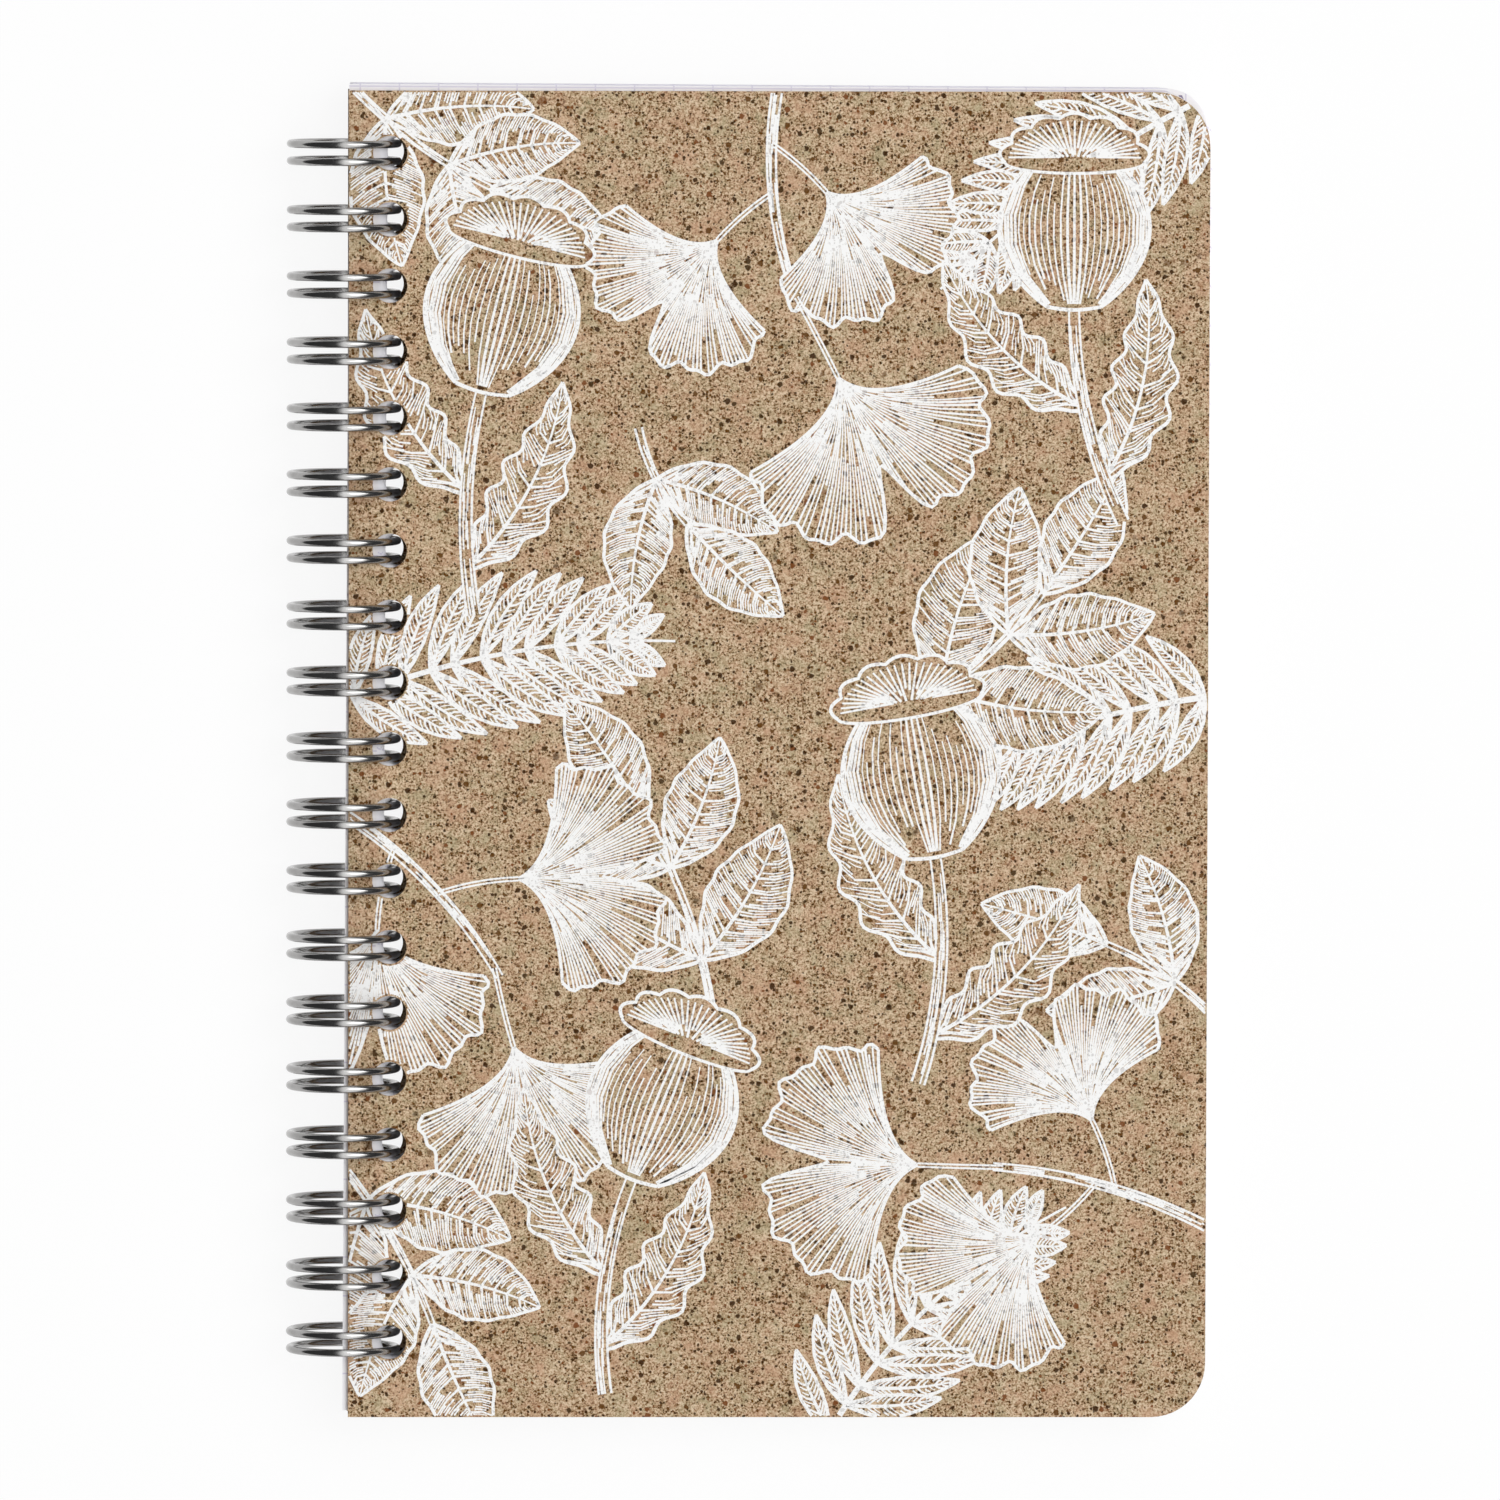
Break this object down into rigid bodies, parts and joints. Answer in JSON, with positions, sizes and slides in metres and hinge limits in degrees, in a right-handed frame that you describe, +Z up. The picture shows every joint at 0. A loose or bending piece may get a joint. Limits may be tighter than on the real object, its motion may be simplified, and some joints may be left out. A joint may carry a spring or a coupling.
{
  "type": "address book",
  "caption": "Wire-bound pocket address book with speckled kraft covers, rounded fore-edge corners and stepped A to Z index leaves that turn on a twin-loop wire.",
  "frame": {"origin": "bottom centre of the whole book's box as it lies on a table on its back cover", "axes": "+X from the wire binding to the fore-edge, +Y towards the head of the book, +Z up, out of the front cover"},
  "size_m": [0.1184, 0.1708, 0.0147],
  "materials": {
    "wire": "bright nickel-plated steel wire",
    "kraft_cover": "matte speckled kraft board, printed white",
    "back_board": "matte speckled kraft board",
    "paper": "uncoated white paper with a pale 5 mm grid"
  },
  "bodies": {
    "back_cover": {"back_cover": "back_board"},
    "binding_wire": {"binding_wire": "wire"},
    "back_flyleaf": {"back_flyleaf": "paper"},
    "section_XYZ": {"section_XYZ": "paper"},
    "section_W": {"section_W": "paper"},
    "section_V": {"section_V": "paper"},
    "section_U": {"section_U": "paper"},
    "section_T": {"section_T": "paper"},
    "section_S": {"section_S": "paper"},
    "section_R": {"section_R": "paper"},
    "section_Q": {"section_Q": "paper"},
    "section_P": {"section_P": "paper"},
    "section_O": {"section_O": "paper"},
    "section_N": {"section_N": "paper"},
    "section_M": {"section_M": "paper"},
    "section_L": {"section_L": "paper"},
    "section_K": {"section_K": "paper"},
    "section_J": {"section_J": "paper"},
    "section_I": {"section_I": "paper"},
    "section_H": {"section_H": "paper"},
    "section_G": {"section_G": "paper"},
    "section_F": {"section_F": "paper"},
    "section_E": {"section_E": "paper"},
    "section_D": {"section_D": "paper"},
    "section_C": {"section_C": "paper"},
    "section_B": {"section_B": "paper"},
    "section_A": {"section_A": "paper"},
    "front_flyleaf": {"front_flyleaf": "paper"},
    "front_cover": {"front_cover": "kraft_cover"}
  },
  "joints": [
    {"name": "wire_roll", "type": "hinge", "parent": "back_cover", "child": "binding_wire", "pos_m": [-0.05186, 0.00039, 0.00735], "axis": [0, -1, 0], "range_deg": [-45, 12]},
    {"name": "back_flyleaf_turn", "type": "hinge", "parent": "back_cover", "child": "back_flyleaf", "pos_m": [-0.05186, 0.00039, 0.00735], "axis": [0, -1, 0], "range_deg": [0, 180]},
    {"name": "section_XYZ_turn", "type": "hinge", "parent": "back_flyleaf", "child": "section_XYZ", "pos_m": [-0.05186, 0.00039, 0.00735], "axis": [0, -1, 0], "range_deg": [0, 180]},
    {"name": "section_W_turn", "type": "hinge", "parent": "section_XYZ", "child": "section_W", "pos_m": [-0.05186, 0.00039, 0.00735], "axis": [0, -1, 0], "range_deg": [0, 180]},
    {"name": "section_V_turn", "type": "hinge", "parent": "section_W", "child": "section_V", "pos_m": [-0.05186, 0.00039, 0.00735], "axis": [0, -1, 0], "range_deg": [0, 180]},
    {"name": "section_U_turn", "type": "hinge", "parent": "section_V", "child": "section_U", "pos_m": [-0.05186, 0.00039, 0.00735], "axis": [0, -1, 0], "range_deg": [0, 180]},
    {"name": "section_T_turn", "type": "hinge", "parent": "section_U", "child": "section_T", "pos_m": [-0.05186, 0.00039, 0.00735], "axis": [0, -1, 0], "range_deg": [0, 180]},
    {"name": "section_S_turn", "type": "hinge", "parent": "section_T", "child": "section_S", "pos_m": [-0.05186, 0.00039, 0.00735], "axis": [0, -1, 0], "range_deg": [0, 180]},
    {"name": "section_R_turn", "type": "hinge", "parent": "section_S", "child": "section_R", "pos_m": [-0.05186, 0.00039, 0.00735], "axis": [0, -1, 0], "range_deg": [0, 180]},
    {"name": "section_Q_turn", "type": "hinge", "parent": "section_R", "child": "section_Q", "pos_m": [-0.05186, 0.00039, 0.00735], "axis": [0, -1, 0], "range_deg": [0, 180]},
    {"name": "section_P_turn", "type": "hinge", "parent": "section_Q", "child": "section_P", "pos_m": [-0.05186, 0.00039, 0.00735], "axis": [0, -1, 0], "range_deg": [0, 180]},
    {"name": "section_O_turn", "type": "hinge", "parent": "section_P", "child": "section_O", "pos_m": [-0.05186, 0.00039, 0.00735], "axis": [0, -1, 0], "range_deg": [0, 180]},
    {"name": "section_N_turn", "type": "hinge", "parent": "section_O", "child": "section_N", "pos_m": [-0.05186, 0.00039, 0.00735], "axis": [0, -1, 0], "range_deg": [0, 180]},
    {"name": "section_M_turn", "type": "hinge", "parent": "section_N", "child": "section_M", "pos_m": [-0.05186, 0.00039, 0.00735], "axis": [0, -1, 0], "range_deg": [0, 180]},
    {"name": "section_L_turn", "type": "hinge", "parent": "section_M", "child": "section_L", "pos_m": [-0.05186, 0.00039, 0.00735], "axis": [0, -1, 0], "range_deg": [0, 180]},
    {"name": "section_K_turn", "type": "hinge", "parent": "section_L", "child": "section_K", "pos_m": [-0.05186, 0.00039, 0.00735], "axis": [0, -1, 0], "range_deg": [0, 180]},
    {"name": "section_J_turn", "type": "hinge", "parent": "section_K", "child": "section_J", "pos_m": [-0.05186, 0.00039, 0.00735], "axis": [0, -1, 0], "range_deg": [0, 180]},
    {"name": "section_I_turn", "type": "hinge", "parent": "section_J", "child": "section_I", "pos_m": [-0.05186, 0.00039, 0.00735], "axis": [0, -1, 0], "range_deg": [0, 180]},
    {"name": "section_H_turn", "type": "hinge", "parent": "section_I", "child": "section_H", "pos_m": [-0.05186, 0.00039, 0.00735], "axis": [0, -1, 0], "range_deg": [0, 180]},
    {"name": "section_G_turn", "type": "hinge", "parent": "section_H", "child": "section_G", "pos_m": [-0.05186, 0.00039, 0.00735], "axis": [0, -1, 0], "range_deg": [0, 180]},
    {"name": "section_F_turn", "type": "hinge", "parent": "section_G", "child": "section_F", "pos_m": [-0.05186, 0.00039, 0.00735], "axis": [0, -1, 0], "range_deg": [0, 180]},
    {"name": "section_E_turn", "type": "hinge", "parent": "section_F", "child": "section_E", "pos_m": [-0.05186, 0.00039, 0.00735], "axis": [0, -1, 0], "range_deg": [0, 180]},
    {"name": "section_D_turn", "type": "hinge", "parent": "section_E", "child": "section_D", "pos_m": [-0.05186, 0.00039, 0.00735], "axis": [0, -1, 0], "range_deg": [0, 180]},
    {"name": "section_C_turn", "type": "hinge", "parent": "section_D", "child": "section_C", "pos_m": [-0.05186, 0.00039, 0.00735], "axis": [0, -1, 0], "range_deg": [0, 180]},
    {"name": "section_B_turn", "type": "hinge", "parent": "section_C", "child": "section_B", "pos_m": [-0.05186, 0.00039, 0.00735], "axis": [0, -1, 0], "range_deg": [0, 180]},
    {"name": "section_A_turn", "type": "hinge", "parent": "section_B", "child": "section_A", "pos_m": [-0.05186, 0.00039, 0.00735], "axis": [0, -1, 0], "range_deg": [0, 180]},
    {"name": "front_flyleaf_turn", "type": "hinge", "parent": "section_A", "child": "front_flyleaf", "pos_m": [-0.05186, 0.00039, 0.00735], "axis": [0, -1, 0], "range_deg": [0, 180]},
    {"name": "front_cover_turn", "type": "hinge", "parent": "front_flyleaf", "child": "front_cover", "pos_m": [-0.05186, 0.00039, 0.00735], "axis": [0, -1, 0], "range_deg": [0, 180]}
  ]
}
